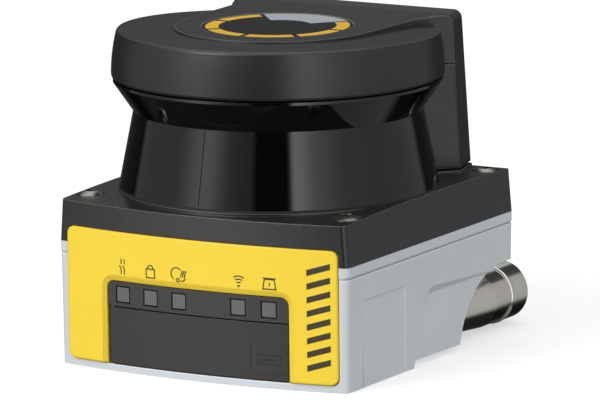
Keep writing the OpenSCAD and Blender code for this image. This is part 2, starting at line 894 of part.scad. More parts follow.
module led_prism(i, size, y1) {
    translate([led_x(i) - size / 2, front_y - 3, led_z - size / 2])
        cube([size, y1 - front_y + 3, size]);
}

module indicator_strip() {
    color([0.22, 0.21, 0.20])
    difference() {
        intersection() {
            front_block(panel_w - 2 * panel_gap, 0, panel_top - panel_gap, panel_r - panel_gap,
                        front_y - 5, 0);
            front_shell(strip_front, -seat_d + 0.1, strip_z, panel_top);
        }
        for (i = [0:4]) led_prism(i, led_size + 2 * led_gap, 0);
        translate([hinge_x, hinge_y, strip_z - 1]) cylinder(r = pin_r, h = 2.2);
    }
}

// A lens block that fills its slot and reaches back to the board
module light_pipe(i) {
    color([0.33, 0.33, 0.35])
    intersection() {
        led_prism(i, led_size, led_board_y - 0.2);
        front_cylinder(strip_front - 0.1, 0, far);
    }
}

led_board_y = -half_d + wall + 1.6;
led_board_t = 1.2;

module indicator_board() {
    w = panel_w - 6;
    color([0.08, 0.35, 0.18])
    union() {
        translate([-w / 2, led_board_y, led_z - 2]) cube([w, led_board_t, 4]);
        for (i = [0:4])
            translate([led_x(i) - 0.8, led_board_y - 0.2, led_z - 0.8]) cube([1.6, 0.3, 1.6]);
    }
}

/* ---- Service flap ---- */
flap_gap = 0.3;
hinge_x = -panel_w / 2 + flap_gap + barrel_r;
hinge_y = front_surface(hinge_x) + barrel_r + 0.15;
flap_z0 = bezel_z - panel_gap + flap_gap;
flap_z1 = strip_z - flap_gap;
grip_x1 = panel_w / 2 - 0.5;

module flap_pin_hole() {
    translate([hinge_x, hinge_y, bezel_z - 1.2]) cylinder(r = pin_r, h = 4);
}

module port_flap() {
    x1 = panel_w / 2 - flap_gap;
    color([0.20, 0.20, 0.20])
    difference() {
        union() {
            intersection() {
                front_shell(strip_front, strip_front - flap_t, flap_z0, flap_z1);
                translate([hinge_x, front_y - 5, 0]) cube([x1 - hinge_x, 20, far]);
            }
            translate([hinge_x, hinge_y, flap_z0]) cylinder(r = barrel_r, h = flap_z1 - flap_z0);
            // snap rib on the inside
            translate([x1 - 4.5, front_surface(x1 - 4) + flap_t - 0.2, flap_z0 + 3])
                cube([1.2, 1.2, 6]);
        }
        translate([hinge_x, hinge_y, 0]) cylinder(r = pin_r + pin_gap, h = far);
        // finger recess: a ledge that starts under its upper edge and dies out below
        translate([grip_x1 - grip_w, front_y - 5, flap_z0 + 1.4])
            intersection() {
                cube([grip_w + 3, 20, grip_h]);
                translate([0, 5, 0]) rotate([0, 0, 0]) grip_wedge();
            }
    }
}

module grip_wedge() {
    depth = 0.6;
    surf = front_surface(grip_x1 - grip_w / 2) - front_y;
    translate([-1, 0, 0]) rotate([90, 0, 90]) linear_extrude(grip_w + 6)
        polygon([[-3, 0], [surf - 0.15, 0], [surf + depth - 0.15, grip_h], [-3, grip_h]]);
}

function front_surface(x) = arc_y - sqrt(pow(front_r, 2) - pow(x, 2));

module flap_pin() {
    color([0.75, 0.75, 0.76])
    translate([hinge_x, hinge_y, bezel_z - 1.1]) cylinder(r = pin_r - 0.02,
                                                         h = strip_z - bezel_z + 2.2);
}

module service_socket() {
    w = socket_w;
    h = socket_h;
    color([0.70, 0.71, 0.72])
    difference() {
        translate([socket_x - w / 2, pocket_back - 1, socket_z - h / 2]) cube([w, 4.5, h]);
        translate([socket_x - w / 2 + 0.4, pocket_back - 2, socket_z - h / 2 + 0.4])
            cube([w - 0.8, 4, h - 0.8]);
    }
}

/* ---- Round connector ---- */
connector_end = half_d + connector_reach;
tail_r = foot_r - 0.8;
seal_t = 0.8;
cone_y = connector_y + 9;

module connector_disc(r, y0, y1) {
    translate([connector_x, y0, connector_z]) rotate([-90, 0, 0]) cylinder(r = r, h = y1 - y0);
}

module connector_sleeve() {
    groove_y = connector_end - collar_l;
    color([0.78, 0.76, 0.72])
    difference() {
        union() {
            connector_disc(foot_r, connector_y + 1, cone_y + 1);
            translate([connector_x, cone_y, connector_z]) rotate([-90, 0, 0])
                cylinder(r1 = foot_r, r2 = sleeve_r - 0.25, h = groove_y - 8 - cone_y);
            connector_disc(sleeve_r - 0.25, groove_y - 8, groove_y);
            connector_disc(sleeve_r, groove_y, connector_end - 0.4);
            translate([connector_x, connector_end - 0.4, connector_z]) rotate([-90, 0, 0])
                cylinder(r1 = sleeve_r, r2 = sleeve_r - 0.4, h = 0.4);
            connector_disc(tail_r, connector_y - 4.5, connector_y + 2);
        }
        connector_disc(sleeve_bore_r, connector_end - socket_d, connector_end + 1);
        connector_disc(mouth_r, connector_end - mouth_l, connector_end + 1);
        difference() {
            connector_disc(sleeve_r + 1, groove_y - 0.35, groove_y + 0.35);
            connector_disc(sleeve_r - 0.5, groove_y - 1, groove_y + 1);
        }
        connector_disc(3.4, connector_y - 6, connector_end - socket_d + 1);
        // groove of the sealing ring
        difference() {
            connector_disc(sleeve_r, connector_y - 1.5, connector_y);
            connector_disc(tail_r - seal_t, connector_y - 2, connector_y + 1);
        }
    }
}

module connector_insert() {
    y0 = connector_end - socket_d;
    color([0.10, 0.10, 0.10])
    difference() {
        union() {
            connector_disc(sleeve_bore_r - 0.02, y0, y0 + 1.6);
            connector_disc(3.3, y0 - 4, y0 + 1);
        }
        pin_pattern(0.38, y0 - 5, y0 + 5);
        // polarising key
        translate([connector_x - 0.6, y0 + 0.6, connector_z + sleeve_bore_r - 1.3])
            cube([1.2, 2, 2]);
    }
}

module pin_pattern(r, y0, y1) {
    connector_disc(r, y0, y1);
    for (i = [0:pin_count - 1])
        translate([connector_x, 0, connector_z]) rotate([0, i * 360 / pin_count, 0])
            translate([0, y0, 2.4]) rotate([-90, 0, 0]) cylinder(r = r, h = y1 - y0);
}

module connector_pins() {
    y0 = connector_end - socket_d;
    color([0.85, 0.70, 0.35]) pin_pattern(0.36, y0 - 3.5, y0 + pin_out);
}

module connector_seal() {
    color([0.09, 0.09, 0.09])
    difference() {
        connector_disc(tail_r + 0.04, connector_y - 1.45, connector_y - 0.05);
        connector_disc(tail_r - seal_t + 0.02, connector_y - 2, connector_y + 1);
    }
}

/* ---- Corner screws ---- */
head_z = cover_top - pocket_depth + 0.02;
head_h = 2.85;

// Button head with a rounded crown, and its shank
module corner_screw() {
    crown_r = head_r * 1.65;
    union() {
        intersection() {
            translate([0, 0, head_z]) cylinder(r = head_r, h = head_h);
            translate([0, 0, head_z + head_h - crown_r]) sphere(r = crown_r);
        }
        translate([0, 0, screw_hole_z + 8]) cylinder(r = shank_r, h = head_z - screw_hole_z - 7);
    }
}

module corner_screws() {
    color([0.78, 0.76, 0.73])
    for (sx = [-1, 1], y = screw_y)
        translate([sx * screw_x, y, 0]) difference() {
            corner_screw();
            translate([0, 0, head_z + 1.4]) cylinder(r = 1.45, h = 3, $fn = 6);
        }
}

/* ---- Scan drive ---- */
plate_z = cover_z + 3;
plate_t = 2.5;
tube_z0 = 13;
hub_z = plate_z + plate_t + 1.5;
mirror_mid = hub_z + 4 + mirror_r * 0.71;

module motor_plate() {
    color([0.60, 0.61, 0.63])
    difference() {
        union() {
            axis_disc(post_ring_r + post_r + 1, plate_z + 0.02, plate_z + plate_t);
            axis_disc(bearing_r + 2, tube_z0, plate_z + 1);
        }
        plate_posts(1.4, plate_z - 1, plate_z + 5);
        axis_disc(bearing_r, tube_z0 - 1, tube_z0 + bearing_h);
        axis_disc(bearing_r, plate_z + plate_t - bearing_h, plate_z + plate_t + 1);
        axis_disc(shaft_r + 1.5, tube_z0, plate_z + plate_t);
    }
}

module bearing(z0) {
    difference() {
        axis_ring(bearing_r, shaft_r + shaft_gap, z0, z0 + bearing_h);
        // gap between the races
        axis_ring(bearing_r - 1.2, bearing_r - 2.2, z0 - 1, z0 + 0.5);
        axis_ring(bearing_r - 1.2, bearing_r - 2.2, z0 + bearing_h - 0.5, z0 + bearing_h + 1);
    }
}

module upper_bearing() {
    color([0.75, 0.75, 0.76]) bearing(plate_z + plate_t - bearing_h);
}

module lower_bearing() {
    color([0.75, 0.75, 0.76]) bearing(tube_z0);
}

stator_r = bell_r - 3;

module motor_stator() {
    z0 = tube_z0 + 3;
    h = plate_z - 3 - z0;
    color([0.72, 0.45, 0.20])
    difference() {
        union() {
            axis_disc(stator_r * 0.66, z0, z0 + h);
            for (i = [0:tooth_count - 1])
                translate([0, scan_y, z0 + 0.5]) rotate([0, 0, i * 360 / tooth_count])
                    translate([bearing_r, -2, 0]) cube([stator_r - 0.4 - bearing_r, 4, h - 1]);
        }
        axis_disc(bearing_r + 2.02, 0, far);
    }
}

module motor_bell() {
    z0 = tube_z0 - 4;
    color([0.55, 0.56, 0.58])
    difference() {
        axis_disc(bell_r, z0, plate_z - 2);
        axis_disc(stator_r + 0.8, z0 + 2, plate_z);
        axis_disc(shaft_r + 0.02, z0 - 1, z0 + 3);
    }
}

module drive_shaft() {
    color([0.80, 0.80, 0.81]) axis_disc(shaft_r, tube_z0 - 4, hub_z + 3);
}

module encoder_disc() {
    color([0.85, 0.85, 0.80])
    difference() {
        axis_ring(mirror_r + 6, shaft_r + 0.02, hub_z, hub_z + 0.8);
        for (i = [0:35])
            translate([0, scan_y, hub_z - 1]) rotate([0, 0, i * 10])
                translate([mirror_r + 3, -0.4, 0]) cube([2, 0.8, 3]);
    }
}

// Round post cut at 45 degrees that carries the mirror
module mirror_holder() {
    color([0.16, 0.16, 0.17])
    difference() {
        axis_disc(mirror_r - 1, hub_z + 0.82, mirror_mid + mirror_r * 0.71 - 1);
        translate([0, scan_y, mirror_mid]) rotate([45, 0, 0])
            translate([-far / 2, -far / 2, -mirror_t / 2]) cube([far, far, far]);
        axis_disc(shaft_r + 0.02, 0, hub_z + 3);
    }
}

module scan_mirror() {
    color([0.80, 0.85, 0.90])
    translate([0, scan_y, mirror_mid]) rotate([45, 0, 0])
        translate([0, 0, -mirror_t / 2 + 0.02]) cylinder(r = mirror_r, h = mirror_t);
}

/* ---- Optics in the cap ---- */
deck_t = 2;
deck_z = split_z - split_gap + 0.02;

module optics_deck() {
    color([0.25, 0.25, 0.27])
    difference() {
        axis_disc(cap_r - 3.6, deck_z, deck_z + deck_t);
        axis_disc(receiver_r - 1, deck_z - 1, deck_z + 3);
        behind(seam_y, deck_z - 1, far);
    }
}

module receiver_lens() {
    color([0.75, 0.80, 0.85])
    intersection() {
        axis_disc(receiver_r, deck_z + deck_t + 0.02, deck_z + 6);
        translate([0, scan_y, deck_z + deck_t + 0.02 + 3.2 - 40]) sphere(r = 40);
    }
}

laser_w = 16;
laser_d = 8;
laser_h = 3.2;

module laser_module() {
    z0 = deck_z + deck_t;
    color([0.60, 0.60, 0.62])
    translate([-laser_w / 2, scan_y + receiver_r + 2, z0 + 0.02]) cube([laser_w, laser_d, laser_h]);
}

receiver_board_r = cap_r - 10.4;

module receiver_board() {
    z0 = deck_z + deck_t;
    leg_r = receiver_board_r - 3;
    color([0.08, 0.35, 0.18])
    difference() {
        union() {
            axis_disc(receiver_board_r, z0 + 3.5, z0 + 4.7);
            for (a = [0:90:270])
                translate([leg_r * cos(a), scan_y + leg_r * sin(a), z0 + 0.02])
                    cylinder(r = 1.5, h = 3.6);
        }
        behind(seam_y - 3, z0, far);
    }
}

chip_w = 7;
chip_pitch = 10;
pan_head_r = 1.9;
pan_shank_r = 0.85;
pan_l = 4.5;

module main_board() {
    color([0.08, 0.35, 0.18])
    difference() {
        union() {
            translate([-board_dx - board_rim, board_y0 - board_rim, board_z + 0.02])
                cube([2 * (board_dx + board_rim), board_y1 - board_y0 + 2 * board_rim, board_t]);
            for (i = [-1, 0, 1])
                translate([i * chip_pitch - chip_w / 2, board_y0 + 6, board_z + board_t - 0.1])
                    cube([chip_w, chip_w, 1.2]);
        }
        for (sx = [-1, 1], y = [board_y0, board_y1])
            translate([sx * board_dx, y, board_z - 1]) cylinder(r = 1.1, h = 5);
    }
}

module board_screws() {
    color([0.75, 0.75, 0.76])
    for (sx = [-1, 1], y = [board_y0, board_y1])
        translate([sx * board_dx, y, board_z + board_t + 0.04])
            pan_screw(pan_head_r, pan_shank_r, pan_l);
}

module plate_screws() {
    color([0.75, 0.75, 0.76])
    for (a = post_angles)
        translate([post_ring_r * cos(a), scan_y + post_ring_r * sin(a), plate_z + plate_t + 0.02])
            pan_screw(2.2, 1.15, 8);
}

module pan_screw(head, shank, l) {
    difference() {
        union() {
            cylinder(r = head, h = 1.1);
            translate([0, 0, -l]) cylinder(r = shank, h = l + 0.5);
        }
        translate([-head, -0.25, 0.7]) cube([2 * head, 0.5, 1]);
        translate([-0.25, -head, 0.7]) cube([0.5, 2 * head, 1]);
    }
}

base_housing();
housing_gasket();
cast_ring();
optics_cover();
window_seal();
scan_window();
window_frame();
cap();
rear_cover();
display_lens();
field_ring();
blind_sector();
front_bezel();
indicator_strip();
light_pipe(0);  // light_pipe_1
light_pipe(1);  // light_pipe_2
light_pipe(2);  // light_pipe_3
light_pipe(3);  // light_pipe_4
light_pipe(4);  // light_pipe_5
indicator_board();
port_flap();
flap_pin();
service_socket();
connector_sleeve();
connector_insert();
connector_pins();
connector_seal();
corner_screws();
motor_plate();
upper_bearing();
lower_bearing();
motor_stator();
motor_bell();
drive_shaft();
mirror_holder();
scan_mirror();
encoder_disc();
optics_deck();
receiver_lens();
laser_module();
receiver_board();
main_board();
board_screws();
plate_screws();
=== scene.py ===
# Looks of the compact safety laser scanner: camera, studio, materials and printed detail.
import bpy
import bmesh
import json
import math
from mathutils import Matrix, Vector
from mathutils.bvhtree import BVHTree


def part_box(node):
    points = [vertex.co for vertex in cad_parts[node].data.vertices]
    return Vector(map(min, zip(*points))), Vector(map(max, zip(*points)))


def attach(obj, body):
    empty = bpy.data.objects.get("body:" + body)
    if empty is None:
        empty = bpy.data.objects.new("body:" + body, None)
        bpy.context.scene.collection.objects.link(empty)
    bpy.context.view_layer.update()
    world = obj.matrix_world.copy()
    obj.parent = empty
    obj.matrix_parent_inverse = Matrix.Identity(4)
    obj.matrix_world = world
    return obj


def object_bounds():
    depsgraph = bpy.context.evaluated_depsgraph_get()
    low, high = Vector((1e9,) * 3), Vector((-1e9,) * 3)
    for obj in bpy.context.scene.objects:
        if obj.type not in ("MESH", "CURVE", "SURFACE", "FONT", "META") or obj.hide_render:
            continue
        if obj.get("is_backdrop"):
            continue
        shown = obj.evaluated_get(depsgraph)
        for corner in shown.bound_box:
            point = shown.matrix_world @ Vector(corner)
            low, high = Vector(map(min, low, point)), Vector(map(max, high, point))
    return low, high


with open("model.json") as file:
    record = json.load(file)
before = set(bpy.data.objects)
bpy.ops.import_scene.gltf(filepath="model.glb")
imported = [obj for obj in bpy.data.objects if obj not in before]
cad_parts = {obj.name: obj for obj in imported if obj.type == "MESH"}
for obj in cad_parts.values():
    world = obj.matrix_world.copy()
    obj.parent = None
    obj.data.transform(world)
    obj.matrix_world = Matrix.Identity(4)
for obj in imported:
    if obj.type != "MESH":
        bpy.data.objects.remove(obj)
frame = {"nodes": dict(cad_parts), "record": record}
cad_low, cad_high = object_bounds()
nodes = frame["nodes"]
MM = 0.001


# ---------------------------------------------------------------- camera
YAW, PITCH, ROLL = 0.5241, 0.1865, -0.0113  # radians, from straight ahead
FOCAL = 11.332                              # focal length over the width of the sensor
DISTANCE = 1.6519
AIM = Vector((0, 0, 0.04))
OFF_X, OFF_Y = -0.020867, -0.024433         # where AIM lies right of and below the picture's
                                            # middle, over its width
SENSOR_MM = 36


def make_camera():
    ahead = Vector((-math.sin(YAW) * math.cos(PITCH), math.cos(YAW) * math.cos(PITCH),
                    -math.sin(PITCH)))
    level = Vector((math.cos(YAW), math.sin(YAW), 0))
    upright = level.cross(ahead)
    right = math.cos(ROLL) * level + math.sin(ROLL) * upright
    up = -math.sin(ROLL) * level + math.cos(ROLL) * upright
    place = AIM - DISTANCE * (ahead + right * OFF_X / FOCAL - up * OFF_Y / FOCAL)
    data = bpy.data.cameras.new("camera")
    data.sensor_width = SENSOR_MM
    data.lens = SENSOR_MM * FOCAL
    data.clip_start, data.clip_end = 0.01, 50
    cam = bpy.data.objects.new("camera", data)
    bpy.context.scene.collection.objects.link(cam)
    cam.matrix_world = Matrix((
        (right.x, up.x, -ahead.x, place.x),
        (right.y, up.y, -ahead.y, place.y),
        (right.z, up.z, -ahead.z, place.z),
        (0, 0, 0, 1),
    ))
    bpy.context.scene.camera = cam


make_camera()


# ---------------------------------------------------------------- node helpers
class Tree:
    """A node tree with short calls for the nodes that the materials use."""

    def __init__(self, owner):
        owner.use_nodes = True
        self.nodes = owner.node_tree.nodes
        self.links = owner.node_tree.links
        self.nodes.clear()

    def add(self, kind, **values):
        n = self.nodes.new(kind)
        for k, v in values.items():
            setattr(n, k, v)
        return n

    def put(self, target, value):
        if hasattr(value, "is_output"):
            self.links.new(value, target)
        else:
            target.default_value = value

    def math(self, op, a, b=0.0):
        n = self.add("ShaderNodeMath", operation=op)
        self.put(n.inputs[0], a)
        self.put(n.inputs[1], b)
        return n.outputs[0]

    def product(self, *values):
        """All the values multiplied."""
        result = values[0]
        for value in values[1:]:
            result = self.math("MULTIPLY", result, value)
        return result

    def dot(self, a, b):
        n = self.add("ShaderNodeVectorMath", operation="DOT_PRODUCT")
        self.put(n.inputs[0], a)
        self.put(n.inputs[1], b)
        return n.outputs["Value"]

    def height(self, vector):
        """The vector's z."""
        n = self.add("ShaderNodeSeparateXYZ")
        self.links.new(vector, n.inputs[0])
        return n.outputs[2]

    def ramp(self, value, low, high, out_low=0.0, out_high=1.0, kind="LINEAR"):
        n = self.add("ShaderNodeMapRange", interpolation_type=kind)
        for i, v in enumerate((value, low, high, out_low, out_high)):
            self.put(n.inputs[i], v)
        return n.outputs[0]

    def smooth(self, value, low, high, out_low=0.0, out_high=1.0):
        """As ramp, but easing in and out."""
        return self.ramp(value, low, high, out_low, out_high, "SMOOTHSTEP")

    def noise(self, scale, detail, rough, vector):
        n = self.add("ShaderNodeTexNoise")
        n.inputs["Scale"].default_value = scale
        n.inputs["Detail"].default_value = detail
        n.inputs["Roughness"].default_value = rough
        self.links.new(vector, n.inputs["Vector"])
        return n.outputs[0]

    def mix(self, share, a, b):
        n = self.add("ShaderNodeMix", data_type="RGBA")
        self.put(n.inputs[0], share)
        self.put(n.inputs[6], a)
        self.put(n.inputs[7], b)
        return n.outputs[2]

    def place(self):
        return self.add("ShaderNodeTexCoord").outputs["Object"]

    def shade(self, kind, **inputs):
        """A shader node with the inputs given by name, and its output."""
        n = self.add(kind)
        for name, value in inputs.items():
            self.put(n.inputs[name], value)
        return n.outputs[0]

    def pick(self, share, first, second):
        """The first shader where the share is 0 and the second where it is 1."""
        n = self.add("ShaderNodeMixShader")
        for i, v in enumerate((share, first, second)):
            self.put(n.inputs[i], v)
        return n.outputs[0]

    def bump(self, height, strength, distance, normal=None):
        n = self.add("ShaderNodeBump")
        n.inputs["Strength"].default_value = strength
        n.inputs["Distance"].default_value = distance
        self.links.new(height, n.inputs["Height"])
        if normal is not None:
            self.links.new(normal, n.inputs["Normal"])
        return n.outputs[0]


def surface(name, color, dark, rough, rough_spread=0.04, metallic=0.0, grain=2500.0, bump=0.15,
            bump_mm=0.02, edge_mm=0.25, specular=0.5, cloud=60.0, edge_highlight=None, edge_highlight_mm=0.5):
    """A procedural finish: two close colours, uneven roughness, a fine grain and softened edges.

    With a highlight colour given, the outer edges take that lighter colour, a painted highlight,
    over the given width in millimetres.
    """
    mat = bpy.data.materials.new(name)
    t = Tree(mat)
    p = t.place()
    b = t.add("ShaderNodeBsdfPrincipled")
    out = t.add("ShaderNodeOutputMaterial")
    t.links.new(b.outputs[0], out.inputs[0])
    share = t.ramp(t.noise(cloud, 3.0, 0.6, p), 0.3, 0.7)
    base = t.mix(share, (*dark, 1), (*color, 1))
    # painted highlight: convex outer edges, found by ambient occlusion from inside, take a lighter
    # colour
    if edge_highlight:
        rim = t.add("ShaderNodeAmbientOcclusion", samples=8, inside=True, only_local=True)
        rim.inputs["Distance"].default_value = edge_highlight_mm * MM
        room = rim.outputs["AO"]
        edge = t.product(t.smooth(room, 0.90, 0.55), t.smooth(room, 0.30, 0.45))
        base = t.mix(edge, base, (*edge_highlight, 1))
    t.links.new(base, b.inputs["Base Color"])
    fine = t.noise(grain, 2.0, 0.6, p)
    t.links.new(t.ramp(fine, 0.3, 0.7, rough - rough_spread, rough + rough_spread),
                b.inputs["Roughness"])
    b.inputs["Metallic"].default_value = metallic
    b.inputs["IOR"].default_value = 1.5
    b.inputs["Specular IOR Level"].default_value = specular
    normal = None
    if edge_mm:
        bevel = t.add("ShaderNodeBevel", samples=4)
        bevel.inputs["Radius"].default_value = edge_mm * MM
        normal = bevel.outputs[0]
    if bump:
        normal = t.bump(fine, bump, bump_mm * MM, normal)
    if normal is not None:
        t.links.new(normal, b.inputs["Normal"])
    return mat


def plain(name, color, rough, **more):
    """A finish whose second colour is the first, a little darker."""
    return surface(name, color, tuple(c * 0.93 for c in color), rough, **more)


SILVER = (0.66, 0.70, 0.735)
# a lighter edge colour in a finish below is a painted highlight along its outer edges
FINISHES = {
    "cast_silver": dict(color=SILVER, rough=0.42, metallic=0.10, grain=5200, bump=0.10, edge_mm=0.3,
                        edge_highlight=(0.85, 0.87, 0.89)),
    "ring_silver": dict(color=SILVER, rough=0.42, metallic=0.10, grain=5200, bump=0.10,
                        edge_mm=0.2),
    "cover_black": dict(color=(0.009, 0.009, 0.009), rough=0.28, grain=4200, bump=0.16,
                        edge_mm=0.45, specular=0.58, edge_highlight=(0.10, 0.10, 0.10), edge_highlight_mm=0.25),
    "tower_black": dict(color=(0.009, 0.009, 0.011), rough=0.31, grain=4200, bump=0.12,
                        edge_mm=0.9, edge_highlight=(0.07, 0.07, 0.07)),
    "cap_black": dict(color=(0.013, 0.013, 0.014), rough=0.33, grain=3000, bump=0.60,
                      bump_mm=0.04, edge_mm=0.3, edge_highlight=(0.10, 0.10, 0.10)),
    "rear_black": dict(color=(0.014, 0.014, 0.014), rough=0.46, grain=3600, bump=0.3, edge_mm=0.3),
    "window_black": dict(color=(0.0014, 0.0009, 0.0006), rough=0.04, rough_spread=0.01, grain=900,
                         bump=0.0, edge_mm=0.12),
    "lens_dark": dict(color=(0.012, 0.012, 0.014), rough=0.20, bump=0.0, edge_mm=0.1),
    "ring_yellow": dict(color=(0.72, 0.42, 0.010), rough=0.35, bump=0.0, edge_mm=0.0),
    "sector_grey": dict(color=(0.36, 0.39, 0.42), rough=0.35, bump=0.0, edge_mm=0.0),
    "panel_dark": dict(color=(0.036, 0.033, 0.029), rough=0.42, grain=5200, edge_mm=0.15),
    "flap_dark": dict(color=(0.027, 0.025, 0.022), rough=0.42, grain=5200, edge_mm=0.2),
    "led_dark": dict(color=(0.115, 0.113, 0.11), rough=0.30, bump=0.05, edge_mm=0.15, cloud=500.0),
    "gasket_black": dict(color=(0.010, 0.010, 0.010), rough=0.6, grain=1500, bump=0.2,
                         edge_mm=0.05),
    "insert_black": dict(color=(0.015, 0.015, 0.015), rough=0.5, grain=2600, bump=0.1),
    "nickel": dict(color=(0.80, 0.775, 0.72), rough=0.14, rough_spread=0.02, metallic=1.0,
                   grain=3000, bump=0.03),
    "screw_nickel": dict(color=(0.27, 0.26, 0.235), rough=0.30, metallic=1.0, grain=3000,
                         bump=0.05, edge_mm=0.1),
    "steel": dict(color=(0.62, 0.62, 0.63), rough=0.25, metallic=1.0, grain=3000, bump=0.04),
    "gold": dict(color=(0.85, 0.62, 0.25), rough=0.22, metallic=1.0, bump=0.0, edge_mm=0.0),
    "machined_grey": dict(color=(0.55, 0.56, 0.58), rough=0.35, metallic=1.0, grain=2400,
                          bump=0.1),
    "bell_grey": dict(color=(0.42, 0.43, 0.45), rough=0.32, metallic=1.0, grain=2400, bump=0.08),
    "copper": dict(color=(0.70, 0.32, 0.13), rough=0.35, metallic=1.0, grain=1600, bump=0.4),
    "mirror": dict(color=(0.86, 0.89, 0.92), rough=0.02, rough_spread=0.005, metallic=1.0,
                   bump=0.0, edge_mm=0.0),
    "encoder": dict(color=(0.75, 0.76, 0.70), rough=0.2, bump=0.0, edge_mm=0.0),
    "lens_clear": dict(color=(0.70, 0.76, 0.80), rough=0.05, bump=0.0, edge_mm=0.0),
    "board_green": dict(color=(0.02, 0.16, 0.06), rough=0.3, grain=900, bump=0.2, edge_mm=0.0,
                        cloud=400.0),
    # finishes of the thin trim that only this script makes
    "print_dark": dict(color=(0.050, 0.036, 0.018), rough=0.5, bump=0.05, edge_mm=0.0, cloud=900.0),
    "shade_dark": dict(color=(0.012, 0.011, 0.010), rough=0.5, bump=0.05, edge_mm=0.0, cloud=900.0),
    "mark_flap": dict(color=(0.014, 0.013, 0.012), rough=0.45, bump=0.05, edge_mm=0.0, cloud=900.0),
    "rim_grey": dict(color=(0.20, 0.20, 0.21), rough=0.35, bump=0.05, edge_mm=0.0),
    # painted highlight and painted shade for the lines round the side pads
    "line_lit": dict(color=(0.82, 0.84, 0.86), rough=0.40, bump=0.05, edge_mm=0.0),
    "line_shade": dict(color=(0.34, 0.36, 0.38), rough=0.5, bump=0.05, edge_mm=0.0),
    "seam_black": dict(color=(0.010, 0.009, 0.008), rough=0.7, bump=0.05, edge_mm=0.0,
                       specular=0.1),
}
MATS = {name: plain(name, **finish) for name, finish in FINISHES.items()}
MATS["bezel_yellow"] = surface("bezel_yellow", (0.95, 0.69, 0.030), (0.93, 0.665, 0.026), 0.40,
                               grain=5200, bump=0.10, edge_mm=0.8)

slot_of = {s["node"]: s["material_slot"] for s in frame["record"]["subparts"]}
for name, obj in nodes.items():
    for s in obj.material_slots:
        s.material = MATS[slot_of[name]]


# ---------------------------------------------------------------- printed marks on the front
def front_of(name):
    """A call that says where the front of a node lies at x, z, in metres."""
    tree = BVHTree.FromObject(nodes[name], bpy.context.evaluated_depsgraph_get())

    def at(x, z):
        hit = tree.ray_cast(Vector((x, -1, z)), Vector((0, 1, 0)))[0]
        return hit.y if hit else None

    return at


on_bezel = front_of("front_bezel")


def stroke(points, width, closed=False):
    """Quads along a line of points in the front's plane, in millimetres."""
    pts = [Vector(p) for p in points]
    n = len(pts)
    sides = []
    for i, p in enumerate(pts):
        before = pts[i - 1] if i or closed else None
        after = pts[(i + 1) % n] if i < n - 1 or closed else None
        a = (p - before).normalized() if before is not None else (after - p).normalized()
        b = (after - p).normalized() if after is not None else a
        along = (a + b).normalized()
        across = Vector((-along.y, along.x))
        wide = width / 2 / max(0.5, across.dot(Vector((-a.y, a.x))))
        sides.append((p + across * wide, p - across * wide))
    count = n if closed else n - 1
    ends = [(sides[i], sides[(i + 1) % n]) for i in range(count)]
    return [[a[0], a[1], b[1], b[0]] for a, b in ends]


def arc(cx, cy, r, a0, a1, n):
    """Points on an arc from a0 to a1, in degrees."""
    turns = [math.radians(a0 + (a1 - a0) * i / n) for i in range(n + 1)]
    return [(cx + r * math.cos(a), cy + r * math.sin(a)) for a in turns]


def circle(cx, cy, r, n):
    return arc(cx, cy, r, 0, 360, n)[:-1]


def box(x0, y0, x1, y1):
    return [(x0, y0), (x1, y0), (x1, y1), (x0, y1)]


def moved(points, cx, cy):
    return [(x + cx, y + cy) for x, y in points]


def add_piece(name, bm, material, body="scanner"):
    """Makes the mesh a piece of the object that rides on a body."""
    bmesh.ops.recalc_face_normals(bm, faces=bm.faces)
    mesh = bpy.data.meshes.new(name)
    bm.to_mesh(mesh)
    bm.free()
    mesh.materials.append(MATS[material])
    obj = bpy.data.objects.new(name, mesh)
    bpy.context.scene.collection.objects.link(obj)
    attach(obj, body)


def printed(name, faces, proud_mm=0.03, sunk_mm=0.05, material="print_dark",
            at=on_bezel, body="scanner"):
    """A thin closed piece for each flat outline, laid on the front of a node."""
    bm = bmesh.new()
    for face in faces:
        rings = []
        for depth in (-proud_mm, sunk_mm):
            rings.append([
                bm.verts.new((x * MM, at(x * MM, z * MM) + depth * MM, z * MM)) for x, z in face
            ])
        bm.faces.new(rings[0])
        bm.faces.new(list(reversed(rings[1])))
        k = len(face)
        for i in range(k):
            j = (i + 1) % k
            bm.faces.new((rings[0][i], rings[1][i], rings[1][j], rings[0][j]))
    add_piece(name, bm, material, body)


BEAD_STEPS, BEAD_SIDES = 128, 12


def bead(name, centre, axis, major, minor, material):
    """A round bead round an axis, all in millimetres."""
    bm = bmesh.new()
    along = Vector(axis)
    one = along.orthogonal().normalized()
    two = along.cross(one)
    rows = []
    for i in range(BEAD_STEPS):
        a = 2 * math.pi * i / BEAD_STEPS
        out = one * math.cos(a) + two * math.sin(a)
        row = []
        for j in range(BEAD_SIDES):
            b = 2 * math.pi * j / BEAD_SIDES
            point = (Vector(centre) + out * (major + minor * math.cos(b))
                     + along * (minor * math.sin(b)))
            row.append(bm.verts.new(point * MM))
        rows.append(row)
    for i in range(BEAD_STEPS):
        for j in range(BEAD_SIDES):
            k, m = (i + 1) % BEAD_STEPS, (j + 1) % BEAD_SIDES
            bm.faces.new((rows[i][j], rows[k][j], rows[k][m], rows[i][m])).smooth = True
    add_piece(name, bm, material)


led_boxes = [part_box(f"light_pipe_{i}") for i in range(1, 6)]
led_x = [(lo.x + hi.x) / 2 / MM for lo, hi in led_boxes]
ICON_RISE, LINE = 4.8, 0.30
icon_z = led_boxes[0][1].z / MM + ICON_RISE

cx, cz = led_x[0] + 0.15, icon_z + 0.45
beam = []
for dx, dz in ((-0.25, 0.0), (0.70, -0.02)):
    beam += stroke(moved([(0, 1.87), (0, 0.6)], cx + dx, cz + dz), LINE)
    beam += stroke(moved([(-0.5, 0.25), (0, -0.55), (0, -1.87)], cx + dx, cz + dz), LINE)
printed("mark_beam", beam)

